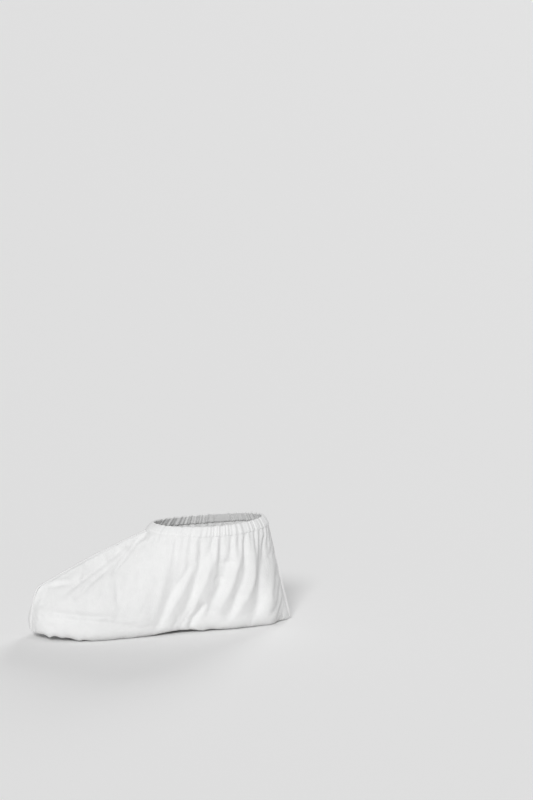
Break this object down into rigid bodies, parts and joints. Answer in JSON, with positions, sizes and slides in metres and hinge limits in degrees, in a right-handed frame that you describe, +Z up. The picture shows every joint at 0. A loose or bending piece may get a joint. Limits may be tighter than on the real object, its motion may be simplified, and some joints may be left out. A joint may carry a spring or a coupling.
{
  "type": "disposable shoe cover",
  "caption": "Soft white slip-on cover that encloses a worn shoe, sewn along instep, toe and heel, with a gathered elastic hem round the ankle opening.",
  "frame": {"origin": "on the floor, below the middle of the cover's length and width", "axes": "+Z up from the sole, +Y from toe to heel, +X to the side that the picture shows best; the seam plane is x = 0"},
  "size_m": [0.1131, 0.3445, 0.1393],
  "materials": {
    "cloth": "matte non-woven",
    "seam_cloth": "matte non-woven, folded double",
    "hem_cloth": "matte non-woven, gathered",
    "elastic": "matte elastic band"
  },
  "bodies": {
    "root": {"right_panel": "cloth", "left_panel": "cloth", "front_seam": "seam_cloth", "heel_seam": "seam_cloth", "ankle_hem": "hem_cloth", "hem_elastic": "elastic"}
  },
  "joints": []
}
